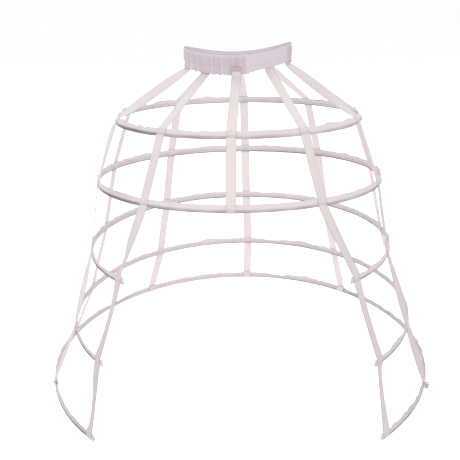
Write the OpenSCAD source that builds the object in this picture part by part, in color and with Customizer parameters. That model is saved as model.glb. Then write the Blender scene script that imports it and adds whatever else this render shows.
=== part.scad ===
// Crinoline cage: a gathered elastic waistband, ten tapes and five hoops in sewn casings.
// Millimetres, +Z up. The front faces -Y, and the origin is the centre of the waist opening.

/* [Waistband] */
// Width of the waist opening from side to side
waist_w = 278; // [250:1:310]
// Depth of the waist opening from front to back
waist_d = 134; // [110:1:160]
// Drop of the band's front below its sides
front_sag = 21; // [5:1:30]
// Drop of the band's back below its sides
back_sag = 24; // [5:1:30]
// Rise of the band's right side above its middle, and drop of its left side
side_rise = 4.5; // [0:0.5:10]
// Number of gathers round the band
gather_count = 96; // [60:1:100]
// How far a gather stands out from the band
gather_depth = 1.6; // [0.4:0.1:2.4]
// Share of the gathers left where the right front is pulled smooth
smooth_share = 0.3; // [0:0.1:1]
// Height of the frill below the stitch line
frill_h = 16; // [8:1:20]
// How far the frill waves outwards
frill_depth = 3; // [1:0.5:5]
// Thickness of the band's cloth
cloth_t = 0.8; // [0.6:0.1:1.2]

/* [Elastic] */
// Width of the elastic
elastic_w = 32; // [25:1:40]
// Thickness of the elastic
elastic_t = 1.6; // [1:0.1:2.5]
// Room round the elastic in its casing
elastic_clear = 0.3; // [0.2:0.1:0.6]
// Distance from the elastic to the stitch line below it
stitch_margin = 4; // [3:0.5:8]

/* [Tapes] */
// Width of the tapes
tape_w = 25; // [18:1:28]
// Thickness of the tapes
tape_t = 0.8; // [0.5:0.1:1.2]
// Gap between a tape and the casing it is sewn to
sew_gap = 0.2; // [0.1:0.05:0.3]
// Gap between a tape and the inside of the waistband
tuck_gap = 0.45; // [0.4:0.05:0.6]
// Length of tape sewn inside the waistband
tuck_len = 24; // [15:1:30]
// Gap between a tape and the frill that it passes under
frill_gap = 1.2; // [1:0.1:3]
// Height of the tape's end turned up inside its last hoop
turn_up = 14; // [12:1:16]
// Length of the front centre tape sewn over the waistband
tab_len = 4; // [2:0.5:8]
// Angle from the front to the front tapes on the first hoop
front_1_angle = 31.5; // [28:0.5:36]
// Angle from the front to the front tapes on the second hoop
front_2_angle = 33.5; // [30:0.5:38]
// Angle from the front to the side front tapes on the three lower hoops
side_front_angle = 75; // [71:1:79]
// Angle from the front to the side back tapes on the three lower hoops
side_back_angle = 105; // [100:1:110]
// Angle from the front to the back tapes on the three lower hoops
back_angle = 143; // [137:1:149]

/* [Rods and casings] */
// Diameter of the hoop rods
rod_d = 4.5; // [3.5:0.1:6]
// Wall of the joiners and tips on the rods
sleeve_wall = 0.4; // [0.3:0.05:0.6]
// Fit between a rod and its joiner or tip
sleeve_fit = 0.05; // [0.02:0.01:0.1]
// Room round a joiner or tip in the casing
channel_clear = 0.15; // [0.1:0.05:0.3]
// Length of a joiner
joiner_len = 30; // [20:1:50]
// Length of a rod tip
tip_len = 12; // [8:1:18]
// Gap between the rod ends inside a joiner
rod_gap = 0.6; // [0.2:0.1:2]
// Thickness of the casing's cloth
casing_t = 0.7; // [0.5:0.1:1]
// Height of the casing's flap above the rod's middle
flap_h = 16; // [14:1:24]
// Gap between the casing's ends on a closed hoop, under the back tape
seam_gap = 1.5; // [0.5:0.1:4]
// Distance from a front tape's edge to the cover on the casing's end
cover_gap = 0.5; // [0.4:0.1:3]
// Length of a cover on a casing's end
cover_len = 4; // [3:0.5:8]
// Thickness of a cover's cloth
cover_t = 0.8; // [0.5:0.1:1.2]

/* [First hoop] */
// Radius of the first hoop
hoop_1_r = 329; // [300:1:360]
// Height of the first hoop, below the waist
hoop_1_z = -164; // [-190:1:-130]
// Inward lean of the first casing's flap
hoop_1_lean = 35; // [20:1:45]

/* [Second hoop] */
// Radius of the second hoop
hoop_2_r = 386; // [360:1:410]
// Height of the second hoop, below the waist
hoop_2_z = -328; // [-350:1:-290]
// Inward lean of the second casing's flap
hoop_2_lean = 15; // [5:1:25]

/* [Third hoop] */
// Radius of the third hoop
hoop_3_r = 415; // [397:1:437]
// Distance of its centre behind the waist's centre
hoop_3_centre = 8; // [0:1:33]
// Distance of its centre to the right of the waist's centre
hoop_3_shift = 0; // [-15:1:15]
// Angle from the front to the tape at its left end
hoop_3_left = 45; // [40:0.5:53]
// Angle from the front to the tape at its right end
hoop_3_right = 47; // [40:0.5:53]
// Height of its centre, below the waist
hoop_3_z = -516; // [-546:1:-486]
// Rise of its back, in degrees
hoop_3_tilt = 4; // [0:0.1:12]
// Inward lean of the third casing's flap
hoop_3_lean = 8; // [2:1:15]

/* [Fourth hoop] */
// Radius of the fourth hoop
hoop_4_r = 479; // [462:1:502]
// Distance of its centre behind the waist's centre
hoop_4_centre = 37; // [12:1:62]
// Distance of its centre to the right of the waist's centre
hoop_4_shift = 0; // [-15:1:15]
// Angle from the front to the tape at its left end
hoop_4_left = 49; // [43:0.5:56]
// Angle from the front to the tape at its right end
hoop_4_right = 50.5; // [43:0.5:56]
// Height of its centre, below the waist
hoop_4_z = -728; // [-758:1:-698]
// Rise of its back, in degrees
hoop_4_tilt = 6.7; // [0:0.1:12]
// Inward lean of the fourth casing's flap
hoop_4_lean = 10; // [2:1:15]

/* [Fifth hoop] */
// Radius of the fifth hoop
hoop_5_r = 536; // [511:1:551]
// Distance of its centre behind the waist's centre
hoop_5_centre = 19; // [0:1:44]
// Distance of its centre to the right of the waist's centre
hoop_5_shift = -6; // [-15:1:15]
// Angle from the front to the tape at its left end
hoop_5_left = 43.5; // [39:0.5:52]
// Angle from the front to the tape at its right end
hoop_5_right = 46.5; // [39:0.5:52]
// Height of its centre, below the waist
hoop_5_z = -880; // [-910:1:-850]
// Rise of its back, in degrees
hoop_5_tilt = 7.6; // [0:0.1:12]
// Inward lean of the fifth casing's flap
hoop_5_lean = 10; // [2:1:15]

/* [Hidden] */
$fn = 64;
hoop_facets = 360;

cloth_colour = "#ece6e4";
tape_colour = "#e6dfdc";
casing_colour = "#e9e3e1";
elastic_colour = "#f4f2ee";
rod_colour = "#d9dade";
sleeve_colour = "#b9bcc2";

// Waistband: heights are measured from the middle of the band
band_h = elastic_w + stitch_margin + 2 * elastic_clear + cloth_t;
band_top = band_h / 2;
stitch_z = -band_h / 2;
elastic_low = stitch_z + stitch_margin;
cavity_low = elastic_low - elastic_clear;
cavity_top = band_top - cloth_t;
cavity_in = cloth_t;
cavity_out = cloth_t + elastic_t + 2 * elastic_clear;
band_out = cavity_out + cloth_t;
layer_slit = 0.2;
frill_in = cloth_t + layer_slit;
frill_out = frill_in + cloth_t;
waist_a = waist_w / 2;
waist_b = waist_d / 2;
waist_rise = (front_sag + back_sag) / 4;
waist_stations = 2 * gather_count;

// Ten tapes share the waist evenly, and all but the front ones the two upper hoops
tape_count = 10;
tape_step = 360 / tape_count;
left = -1;
right = 1;

// Casing section round the rod
sleeve_in = rod_d / 2 + sleeve_fit;
sleeve_out = sleeve_in + sleeve_wall;
channel_in = sleeve_out + channel_clear;
channel_out = channel_in + casing_t;
flap_t = 2 * casing_t;
tape_seat = channel_out + sew_gap + tape_t / 2;
overhang = tape_w / 2 + cover_gap + cover_len;

// Hoops: height, tilt, flap's lean, radius, centre, and the two end angles of an open one
HOOP_1 = [hoop_1_z, 0, hoop_1_lean, hoop_1_r, [0, 0]];
HOOP_2 = [hoop_2_z, 0, hoop_2_lean, hoop_2_r, [0, 0]];
HOOP_3 = [
    hoop_3_z, hoop_3_tilt, hoop_3_lean, hoop_3_r,
    [hoop_3_shift, hoop_3_centre], [hoop_3_left, hoop_3_right]
];
HOOP_4 = [
    hoop_4_z, hoop_4_tilt, hoop_4_lean, hoop_4_r,
    [hoop_4_shift, hoop_4_centre], [hoop_4_left, hoop_4_right]
];
HOOP_5 = [
    hoop_5_z, hoop_5_tilt, hoop_5_lean, hoop_5_r,
    [hoop_5_shift, hoop_5_centre], [hoop_5_left, hoop_5_right]
];
OPEN_HOOPS = [HOOP_3, HOOP_4, HOOP_5];
HOOPS = concat([HOOP_1, HOOP_2], OPEN_HOOPS);

function middle(h) = [h[4].x, h[4].y, h[0]];
function tilt(h) = h[1];
function lean(h) = h[2];
function radius(h) = h[3];
function end_angle(h, side) = side == left ? h[5][0] : h[5][1];
function turn_of(length, h) = length / radius(h) * 180 / PI;

// Directions: angles are measured from the front, towards +X
function out_dir(angle) = [sin(angle), -cos(angle), 0];
function along_dir(angle) = [cos(angle), sin(angle), 0];
function tipped(v, angle) = [
    v.x,
    v.y * cos(angle) - v.z * sin(angle),
    v.y * sin(angle) + v.z * cos(angle)
];
function unit(v) = v / norm(v);

// Local frame of a tape on a hoop: rod centre, outward, along, up, and curvature
function seat_frame(h, angle) = [
    middle(h) + radius(h) * tipped(out_dir(angle), tilt(h)),
    tipped(out_dir(angle), tilt(h)),
    tipped(along_dir(angle), tilt(h)),
    tipped([0, 0, 1], tilt(h)),
    1 / (2 * radius(h))
];

// One station of a tape: centre, across, face normal, and bow across the width
function round_station(f, turn, r) =
    let (face = f[1] * cos(turn) + f[3] * sin(turn))
    [f[0] + r * face, f[2], face, f[4] * f[1]];
function flap_station(f, lean, away, up, side = 1) =
    let (
        face = f[1] * cos(lean) + f[3] * sin(lean),
        rise = f[3] * cos(lean) - f[1] * sin(lean)
    )
    [f[0] + away * face + up * rise, f[2], side * face, f[4] * f[1]];

// A tape lies on a casing's flap and leaves its channel towards the next hoop
function crossing(h, angle, next, next_angle) =
    let (
        f = seat_frame(h, angle),
        way = seat_frame(next, next_angle)[0] - f[0],
        leave = atan2(way * f[1], -(way * f[3]))
    )
    concat(
        [flap_station(f, lean(h), tape_seat, flap_h), round_station(f, lean(h), tape_seat)],
        leave < lean(h) ? [round_station(f, leave, tape_seat)] : []
    );

// A tape's end goes under its last hoop and is turned up inside the flap
wrap_step = 30;
clear_rise = 2;
flap_rise = 11;
function turned_end(h, angle) =
    let (
        f = seat_frame(h, angle),
        inner = channel_out - flap_t - sew_gap - tape_t / 2
    )
    concat(
        [flap_station(f, lean(h), tape_seat, flap_h)],
        [for (turn = [0:wrap_step:180]) round_station(f, lean(h) - turn, tape_seat)],
        [flap_station(f, lean(h), -tape_seat, clear_rise, -1)],
        [for (up = [flap_rise, turn_up]) flap_station(f, lean(h), inner, up, -1)]
    );

// Waist: an ellipse whose sides hang higher than its front and back
function sag(angle) = cos(angle) > 0 ? front_sag : back_sag;
function band_z(angle) = waist_rise - sag(angle) * cos(angle) ^ 2 + side_rise * sin(angle);
function band_slope(angle) = sag(angle) * sin(2 * angle) + side_rise * cos(angle);
function waist_speed(angle) = norm([waist_a * cos(angle), waist_b * sin(angle)]);
function waist_out(angle) = unit([waist_b * sin(angle), -waist_a * cos(angle), 0]);
function waist_point(angle, out, up) =
    [waist_a * sin(angle), -waist_b * cos(angle), band_z(angle) + up] + out * waist_out(angle);

// A tape's top is sewn to the inside of the band and bends out below the frill
waist_bend = 30;
function waist_station(angle, out, up, turn = 0) =
    let (
        speed = waist_speed(angle),
        along = [waist_a * cos(angle), waist_b * sin(angle), band_slope(angle)],
        curve = waist_a * waist_b / speed ^ 3
    )
    [
        waist_point(angle, out, up),
        unit(along),
        waist_out(angle) * cos(turn) + [0, 0, sin(turn)],
        curve / 2 * waist_out(angle)
    ];
tape_low = stitch_z - frill_h - frill_gap;
tape_inside = -tuck_gap - tape_t / 2;
function tape_top(angle) = [
    waist_station(angle, tape_inside, stitch_z + tuck_len),
    waist_station(angle, tape_inside, stitch_z),
    waist_station(angle, tape_inside, tape_low, waist_bend)
];

// The front centre tape is sewn over the band and its frill instead
tape_outside = max(band_out + gather_depth, frill_out + frill_depth) + tuck_gap + tape_t / 2;
tape_tab = [
    waist_station(0, tape_outside, stitch_z + tab_len),
    waist_station(0, tape_outside, tape_low, waist_bend)
];

function tape_path(top, hoops, angles) =
    let (last = len(hoops) - 1)
    concat(
        top,
        [
            for (i = [0:1:last - 1])
                each crossing(hoops[i], angles[i], hoops[i + 1], angles[i + 1])
        ],
        turned_end(hoops[last], angles[last])
    );

// A tape is a thin strip swept through its stations, its two faces split along the same lines
tape_columns = [-1, -1 / 3, 1 / 3, 1];
module strip(path) {
    columns = len(tape_columns);
    ring = 2 * columns;
    points = [
        for (s = path)
            for (side = [1, -1])
                for (u = tape_columns)
                    let (x = side * u * tape_w / 2)
                    s[0] + x * s[1] - x ^ 2 * s[3] + side * tape_t / 2 * s[2]
    ];
    walls = [
        for (i = [0:len(path) - 2])
            for (j = [0:ring - 1])
                let (
                    a = i * ring + j,
                    b = i * ring + (j + 1) % ring,
                    c = a + ring,
                    d = b + ring
                )
                each j < columns ? [[a, b, d], [a, d, c]] : [[a, b, c], [b, d, c]]
    ];
    last = (len(path) - 1) * ring;
    caps = [
        for (j = [0:columns - 2])
            let (a = j, b = j + 1, c = ring - 2 - j, d = ring - 1 - j)
            each [
                [a, c, b], [a, d, c],
                [last + a, last + b, last + c], [last + a, last + c, last + d]
            ]
    ];
    polyhedron(points, concat(walls, caps));
}

module tape(top, hoops, angles) {
    color(tape_colour) strip(tape_path(top, hoops, angles));
}

module front_centre_tape() {
    tape(tape_tab, [HOOP_1, HOOP_2], [0, 0]);
}

// Place 1 is next to the front centre on the right, and place -1 on the left
module full_tape(place, angles) {
    tape(tape_top(place * tape_step), HOOPS, sign(place) * angles);
}

function even_angles(place) = abs(place) * tape_step * [1, 1];

module front_tape(side) {
    full_tape(side, concat(
        [front_1_angle, front_2_angle],
        [for (h = OPEN_HOOPS) end_angle(h, side)]
    ));
}

module side_front_tape(side) {
    place = 2 * side;
    full_tape(place, concat(even_angles(place), side_front_angle * [1, 1, 1]));
}

module side_back_tape(side) {
    place = 3 * side;
    full_tape(place, concat(even_angles(place), side_back_angle * [1, 1, 1]));
}

module back_tape(side) {
    place = 4 * side;
    full_tape(place, concat(even_angles(place), back_angle * [1, 1, 1]));
}

module back_centre_tape() {
    full_tape(5, 180 * [1, 1, 1, 1, 1]);
}

// A closed ring swept round the waist, from one section for each station
module waist_ring(sections) {
    count = len(sections);
    ring = len(sections[0]);
    polyhedron(
        [for (s = sections) each s],
        [
            for (i = [0:count - 1])
                for (j = [0:ring - 1])
                    let (
                        n = (i + 1) % count,
                        k = (j + 1) % ring,
                        a = i * ring + j,
                        b = i * ring + k,
                        c = n * ring + j,
                        d = n * ring + k
                    )
                    each [[a, d, b], [a, c, d]]
        ]
    );
}

// Stations lie about evenly along the ellipse
waist_even = (waist_a - waist_b) / (waist_a + waist_b) / 2 * 180 / PI;
function waist_angle(i, count) = let (turn = 360 * i / count) turn - waist_even * sin(2 * turn);

// The right front is pulled smooth, and the rest is gathered
smooth_from = 4;
smooth_to = 70;
smooth_edge = 8;
function ramp(x) = min(1, max(0, x));
function gathered(angle) =
    1 - (1 - smooth_share) * ramp((angle - smooth_from) / smooth_edge)
        * ramp((smooth_to - angle) / smooth_edge);

function band_section(i) =
    let (
        angle = waist_angle(i, waist_stations),
        crest = i % 2 * gathered(angle),
        puff = gather_depth * crest,
        wave = frill_depth * crest
    )
    [
        for (p = [
            [0, stitch_z],
            [0, cavity_top],
            [cavity_in, band_top],
            [cavity_out + puff / 2, band_top],
            [band_out + puff, band_top - stitch_margin],
            [band_out + puff, elastic_low],
            [frill_out + puff / 2, stitch_z],
            [frill_out + wave, stitch_z - frill_h],
            [frill_in + wave, stitch_z - frill_h],
            [frill_in, stitch_z],
            [cavity_out, cavity_low],
            [cavity_out, cavity_top],
            [cavity_in, cavity_top],
            [cavity_in, cavity_low],
            [cloth_t, stitch_z]
        ])
            waist_point(angle, p.x, p.y)
    ];

module waistband() {
    color(cloth_colour)
        waist_ring([for (i = [0:waist_stations - 1]) band_section(i)]);
}

module waist_elastic() {
    inner = cavity_in + elastic_clear;
    color(elastic_colour)
        waist_ring([
            for (i = [0:gather_count - 1])
                let (angle = waist_angle(i, gather_count))
                [
                    waist_point(angle, inner, elastic_low),
                    waist_point(angle, inner, elastic_low + elastic_w),
                    waist_point(angle, inner + elastic_t, elastic_low + elastic_w),
                    waist_point(angle, inner + elastic_t, elastic_low)
                ]
        ]);
}

// Sections across a hoop: x points outwards from the rod's middle, y up
module casing_outline(grow = 0) {
    circle(r = channel_out + grow);
    translate([channel_out - flap_t - grow, 0]) square([flap_t + 2 * grow, flap_h + grow]);
}

module casing_section(h) {
    rotate(lean(h)) difference() {
        casing_outline();
        circle(r = channel_in);
    }
}

// Sweeps a section round a hoop, from one angle to another
module hoop_sweep(h, from, to) {
    translate(middle(h))
        rotate([tilt(h), 0, 0])
            rotate([0, 0, from - 90])
                rotate_extrude(angle = to - from, $fn = hoop_facets)
                    translate([radius(h), 0]) children();
}

// A closed hoop starts and ends at an angle, with a gap between
module closed_sweep(h, start, gap) {
    half = turn_of(gap, h) / 2;
    hoop_sweep(h, start + half, start + 360 - half) children();
}

// An open hoop runs on past its front tapes by a length
module open_sweep(h, past) {
    more = turn_of(past, h);
    hoop_sweep(h, end_angle(h, right) - more, 360 - end_angle(h, left) + more) children();
}

// A stretch at one end of an open hoop, measured past the front tape
module end_sweep(h, side, from, to) {
    near = side * (end_angle(h, side) - turn_of(from, h));
    far = side * (end_angle(h, side) - turn_of(to, h));
    hoop_sweep(h, min(near, far), max(near, far)) children();
}

// The casing's seam lies under the back tape, and the rod's joint beside it
seam_angle = 180;
joint_angle = 198;

module closed_casing(h) {
    color(casing_colour) closed_sweep(h, seam_angle, seam_gap) casing_section(h);
}

module closed_rod(h) {
    color(rod_colour) closed_sweep(h, joint_angle, rod_gap) circle(d = rod_d);
}

module joiner(h) {
    half = turn_of(joiner_len, h) / 2;
    color(sleeve_colour)
        hoop_sweep(h, joint_angle - half, joint_angle + half) difference() {
            circle(r = sleeve_out);
            circle(r = sleeve_in);
        }
}

module open_casing(h) {
    color(casing_colour) open_sweep(h, overhang) casing_section(h);
}

// The rod stops at the wall of its tip, which is level with the casing's end
tip_wall = 1;
module open_rod(h) {
    color(rod_colour) open_sweep(h, overhang - tip_wall - sleeve_fit) circle(d = rod_d);
}

module rod_tips(h) {
    color(sleeve_colour) for (side = [left, right]) difference() {
        end_sweep(h, side, overhang - tip_len, overhang) circle(r = sleeve_out);
        end_sweep(h, side, overhang - 2 * tip_len, overhang - tip_wall) circle(r = sleeve_in);
    }
}

module end_covers(h) {
    inside = overhang + sew_gap;
    color(casing_colour) for (side = [left, right]) difference() {
        end_sweep(h, side, overhang - cover_len, inside + cover_t)
            rotate(lean(h)) casing_outline(sew_gap + cover_t);
        end_sweep(h, side, overhang - 2 * cover_len, inside)
            rotate(lean(h)) casing_outline(sew_gap);
    }
}

waistband();
waist_elastic();
front_centre_tape();
front_tape(left);  // front_left_tape
front_tape(right);  // front_right_tape
side_front_tape(left);  // side_front_left_tape
side_front_tape(right);  // side_front_right_tape
side_back_tape(left);  // side_back_left_tape
side_back_tape(right);  // side_back_right_tape
back_tape(left);  // back_left_tape
back_tape(right);  // back_right_tape
back_centre_tape();
closed_casing(HOOP_1);  // hoop_1_casing
closed_casing(HOOP_2);  // hoop_2_casing
open_casing(HOOP_3);  // hoop_3_casing
open_casing(HOOP_4);  // hoop_4_casing
open_casing(HOOP_5);  // hoop_5_casing
closed_rod(HOOP_1);  // hoop_1_rod
closed_rod(HOOP_2);  // hoop_2_rod
open_rod(HOOP_3);  // hoop_3_rod
open_rod(HOOP_4);  // hoop_4_rod
open_rod(HOOP_5);  // hoop_5_rod
joiner(HOOP_1);  // hoop_1_joiner
joiner(HOOP_2);  // hoop_2_joiner
rod_tips(HOOP_3);  // hoop_3_rod_tips
rod_tips(HOOP_4);  // hoop_4_rod_tips
rod_tips(HOOP_5);  // hoop_5_rod_tips
end_covers(HOOP_3);  // hoop_3_end_covers
end_covers(HOOP_4);  // hoop_4_end_covers
end_covers(HOOP_5);  // hoop_5_end_covers
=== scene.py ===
import math

import bmesh
import bpy
import numpy as np
from mathutils import Matrix, Vector


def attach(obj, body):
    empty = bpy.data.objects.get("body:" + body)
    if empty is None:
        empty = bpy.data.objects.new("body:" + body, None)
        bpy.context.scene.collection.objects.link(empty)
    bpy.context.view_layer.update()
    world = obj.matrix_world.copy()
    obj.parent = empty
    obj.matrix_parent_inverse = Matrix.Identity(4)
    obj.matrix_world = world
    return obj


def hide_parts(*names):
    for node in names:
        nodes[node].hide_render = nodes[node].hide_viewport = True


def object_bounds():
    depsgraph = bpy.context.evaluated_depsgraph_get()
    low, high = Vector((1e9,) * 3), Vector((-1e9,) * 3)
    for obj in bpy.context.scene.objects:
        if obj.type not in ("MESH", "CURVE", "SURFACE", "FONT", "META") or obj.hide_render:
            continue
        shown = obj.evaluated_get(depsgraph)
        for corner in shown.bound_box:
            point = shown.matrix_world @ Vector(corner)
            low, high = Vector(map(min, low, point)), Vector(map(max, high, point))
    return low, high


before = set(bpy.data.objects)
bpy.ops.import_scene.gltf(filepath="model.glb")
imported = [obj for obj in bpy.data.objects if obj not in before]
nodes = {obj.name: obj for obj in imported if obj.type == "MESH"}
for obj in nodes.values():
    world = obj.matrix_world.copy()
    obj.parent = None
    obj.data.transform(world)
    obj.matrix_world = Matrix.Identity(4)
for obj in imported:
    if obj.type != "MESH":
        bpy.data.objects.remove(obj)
cadBox = [list(corner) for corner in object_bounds()]
clothMap = "cloth"  # UV map of the cloth, in metres along and across it
wearAndShadeMap = "wearAndShade"  # how much wear, soil and painted shade a point of the cloth carries
sharpFrom = 50  # degrees between two faces
print("frame loaded:", len(nodes), "nodes")


# Reading the frame

def nodePoints(name):
    vertices = nodes[name].data.vertices
    points = np.empty(3 * len(vertices))
    vertices.foreach_get("co", points)
    return np.unique(points.reshape(-1, 3).round(6), axis=0)


def unit(v):
    return v / np.linalg.norm(v, axis=-1, keepdims=True)


def turnBetween(angle, other):
    return np.angle(np.exp(1j * (np.asarray(angle) - other)))


class Hoop:
    # A rod's circle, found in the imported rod; angles run from the front towards +X
    def __init__(self, number):
        self.number = number
        points = nodePoints(f"hoop_{number}_rod")
        middle = points.mean(0)
        normal = np.linalg.svd(points - middle, full_matrices=False)[2][2]
        self.up = normal * np.sign(normal[2])
        self.side = unit(np.array((1.0, 0, 0)) - self.up[0] * self.up)
        self.back = np.cross(self.up, self.side)
        x, y = (points - middle) @ self.side, (points - middle) @ self.back
        rows = np.stack((2 * x, 2 * y, np.ones_like(x)), 1)
        fit = np.linalg.lstsq(rows, x * x + y * y, rcond=None)[0]
        self.centre = middle + fit[0] * self.side + fit[1] * self.back
        self.radius = math.sqrt(fit[2] + fit[0] ** 2 + fit[1] ** 2)
        self.measureCasing()

    def local(self, points):
        away = points - self.centre
        x, y = away @ self.side, away @ self.back
        return np.arctan2(x, -y), np.hypot(x, y) - self.radius, away @ self.up

    def measureCasing(self):
        angle, out, rise = self.local(nodePoints(f"hoop_{self.number}_casing"))
        reach = np.hypot(out, rise)
        far = reach > reach.max() - casing["edge"]
        corner = math.atan2(rise[far].mean(), out[far].mean())
        self.flap = math.sqrt(reach.max() ** 2 - casing["channelOut"] ** 2)
        self.lean = corner - math.atan2(self.flap, casing["channelOut"])
        self.flap = casing["stitchUp"] + (self.flap - casing["stitchUp"]) * casing["cut"][self.number]
        left, right = angle[angle < 0].max(), angle[angle > 0].min()
        self.open = right - left > casing["openFrom"]
        seam = math.pi - casing["seamGap"] / 2 / self.radius
        self.start, self.end = (right, 2 * math.pi + left) if self.open else (-seam, seam)

    def out(self, angle):
        angle = np.asarray(angle)[..., None]
        return np.sin(angle) * self.side - np.cos(angle) * self.back

    def along(self, angle):
        angle = np.asarray(angle)[..., None]
        return np.cos(angle) * self.side + np.sin(angle) * self.back

    def place(self, angle, x, y):
        # A point of the casing's section: x away from the rod and y along the flap
        away = x * math.cos(self.lean) - y * math.sin(self.lean)
        rise = x * math.sin(self.lean) + y * math.cos(self.lean)
        out = (self.radius + away)[..., None] * self.out(angle)
        return self.centre + out + rise[..., None] * self.up


def wander(s, seed, *waves):
    # A smooth irregular line between about -1 and 1, from a few wavelengths in metres
    warp, slower, even = 0.9, 2.7, 0.7  # a slower wave warps each one, and more of them even out
    phases = np.random.default_rng(seed).uniform(0, 2 * math.pi, (len(waves), 2))
    parts = [
        np.sin(2 * math.pi * s / w + p + warp * np.sin(2 * math.pi * s / (slower * w) + q))
        for w, (p, q) in zip(waves, phases)
    ]
    return sum(parts) / len(waves) ** even


def ramp(x, low, high):
    t = np.clip((x - low) / (high - low), 0, 1)
    return t * t * (3 - 2 * t)


def bell(x, middle, half):
    return np.exp(-((x - middle) / half) ** 2)


# Meshes

def addObject(name, data):
    made = bpy.data.objects.new(name, data)
    bpy.context.scene.collection.objects.link(made)
    return made


def clothRing(path, thick):
    # Gives a line of cloth its thickness: path is [station, column, 2]
    step = np.gradient(path, axis=1)
    normal = unit(np.stack((-step[..., 1], step[..., 0]), -1))
    half = np.broadcast_to(thick, path.shape[:2])[..., None] / 2
    return np.concatenate((path + normal * half, (path - normal * half)[:, ::-1]), 1)


def strip(rings, length, across, wearAndShade=0, closed=False):
    # One strip of cloth: rings of points whose second half lies behind the first in reverse
    wearAndShade = np.broadcast_to(wearAndShade, (len(rings), rings.shape[1] // 2))
    return {"rings": rings, "length": length, "across": across, "closed": closed,
            "wearAndShade": np.concatenate((wearAndShade, wearAndShade[:, ::-1]), 1)}


def skin(made, first):
    # Faces of a strip, numbered from its first point, and a place on the cloth for each corner
    count, ring = made["rings"].shape[:2]
    spans = count if made["closed"] else count - 1
    i, j = np.meshgrid(np.arange(spans), np.arange(ring), indexing="ij")
    nextI, nextJ = (i + 1) % count, (j + 1) % ring
    corners = (i * ring + j, i * ring + nextJ, nextI * ring + nextJ, nextI * ring + j)
    u = np.append(made["length"], 2 * made["length"][-1] - made["length"][-2])
    v = np.concatenate((made["across"], made["across"][::-1], made["across"][:1]))
    places = ((u[i], v[j]), (u[i], v[j + 1]), (u[i + 1], v[j + 1]), (u[i + 1], v[j]))
    uv = np.stack([np.stack(p, -1) for p in places], -2).reshape(-1, 2)
    faces = (np.stack(corners, -1).reshape(-1, 4) + first).tolist()
    if not made["closed"]:
        for row in (0, count - 1):
            base = first + row * ring
            for k in range(ring // 2 - 1):
                faces.append([base + k, base + k + 1, base + ring - 2 - k, base + ring - 1 - k])
                uv = np.concatenate((uv, [(u[row], v[k]), (u[row], v[k + 1])] * 2))
    return faces, uv


def stripMesh(name, *strips):
    points, faces, places = [], [], []
    for made in strips:
        found, uv = skin(made, len(points))
        points += made["rings"].reshape(-1, 3).tolist()
        faces += found
        places.append(uv)
    mesh = bpy.data.meshes.new(name)
    mesh.from_pydata(points, [], faces)
    mesh.uv_layers.new(name=clothMap).data.foreach_set("uv", np.concatenate(places).ravel())
    wornAndShaded = mesh.attributes.new(wearAndShadeMap, "FLOAT", "POINT")
    wornAndShaded.data.foreach_set("value", np.concatenate([made["wearAndShade"].ravel() for made in strips]))
    work = bmesh.new()
    work.from_mesh(mesh)
    bmesh.ops.recalc_face_normals(work, faces=work.faces)
    work.to_mesh(mesh)
    work.free()
    mesh.shade_smooth()
    mesh.set_sharp_from_angle(angle=math.radians(sharpFrom))
    return addObject(name, mesh)


def tube(points, thick, wearAndShade=0, closed=False, sides=8):
    # A round strip along a line of points, with a thickness for each point
    points = np.asarray(points)
    if closed:
        way = unit(np.roll(points, -1, 0) - np.roll(points, 1, 0))
    else:
        way = unit(np.gradient(points, axis=0))
    first = [np.cross(way[0], np.eye(3)[np.abs(way[0]).argmin()])]
    for w in way[1:]:
        first.append(first[-1] - w * (first[-1] @ w))
    first = unit(np.array(first))
    second = np.cross(way, first)
    turn = np.arange(sides) * 2 * math.pi / sides
    half = np.broadcast_to(thick, len(points))[:, None, None] / 2
    rings = points[:, None] + half * (
        np.cos(turn)[:, None] * first[:, None] + np.sin(turn)[:, None] * second[:, None])
    across = np.arange(sides // 2) * np.mean(thick) * math.pi / sides
    return strip(rings, pathLength(points), across, wearAndShade, closed)


def lineMesh(name, lines):
    # Loose polylines, one for each row of stitches
    points, edges = [], []
    for line in lines:
        edges += [(len(points) + k, len(points) + k + 1) for k in range(len(line) - 1)]
        points += [tuple(p) for p in line]
    mesh = bpy.data.meshes.new(name)
    mesh.from_pydata(points, edges, [])
    return addObject(name, mesh)


def pathLength(path):
    return np.append(0, np.cumsum(np.linalg.norm(np.diff(path, axis=0), axis=1)))


# Node graphs

class Wire:
    # One output socket: arithmetic on it adds Math nodes to its graph
    def __init__(self, graph, socket):
        self.graph = graph
        self.socket = socket

    def out(self, output):
        return Wire(self.graph, self.socket.node.outputs[output])

    def maths(self, operation, *others):
        inputs = dict(enumerate((self, *others)))
        return self.graph.add("ShaderNodeMath", {"operation": operation}, inputs)

    def __add__(self, other):
        return self.maths("ADD", other)

    def __mul__(self, other):
        return self.maths("MULTIPLY", other)

    def __sub__(self, other):
        return self.maths("SUBTRACT", other)

    def __rsub__(self, other):
        return self.graph.add("ShaderNodeMath", {"operation": "SUBTRACT"}, {0: other, 1: self})

    __radd__ = __add__
    __rmul__ = __mul__


class Graph:
    def __init__(self, tree):
        self.tree = tree

    def add(self, kind, settings=None, inputs=None, output=0):
        node = self.tree.nodes.new(kind)
        for name, value in (settings or {}).items():
            setattr(node, name, value)
        for key, value in (inputs or {}).items():
            self.feed(node.inputs[key], value)
        return Wire(self, node.outputs[output]) if len(node.outputs) else node

    def feed(self, socket, value):
        if isinstance(value, Wire):
            self.tree.links.new(value.socket, socket)
        else:
            socket.default_value = value

    def spot(self):
        # Place in the object, in metres
        return self.add("ShaderNodeTexCoord").out("Object")

    def noise(self, scale, detail):
        return self.add("ShaderNodeTexNoise", inputs={
            "Vector": self.spot(), "Scale": scale, "Detail": detail})

    def blend(self, share, dark, light):
        return self.add("ShaderNodeMix", {"data_type": "RGBA", "clamp_factor": True},
                        {0: share, 6: dark, 7: light}, 2)


def tone(red, green, blue):
    # A colour as it is seen, from 0 to 255, made linear
    return tuple(((c / 255 + 0.055) / 1.055) ** 2.4 for c in (red, green, blue)) + (1,)


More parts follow.
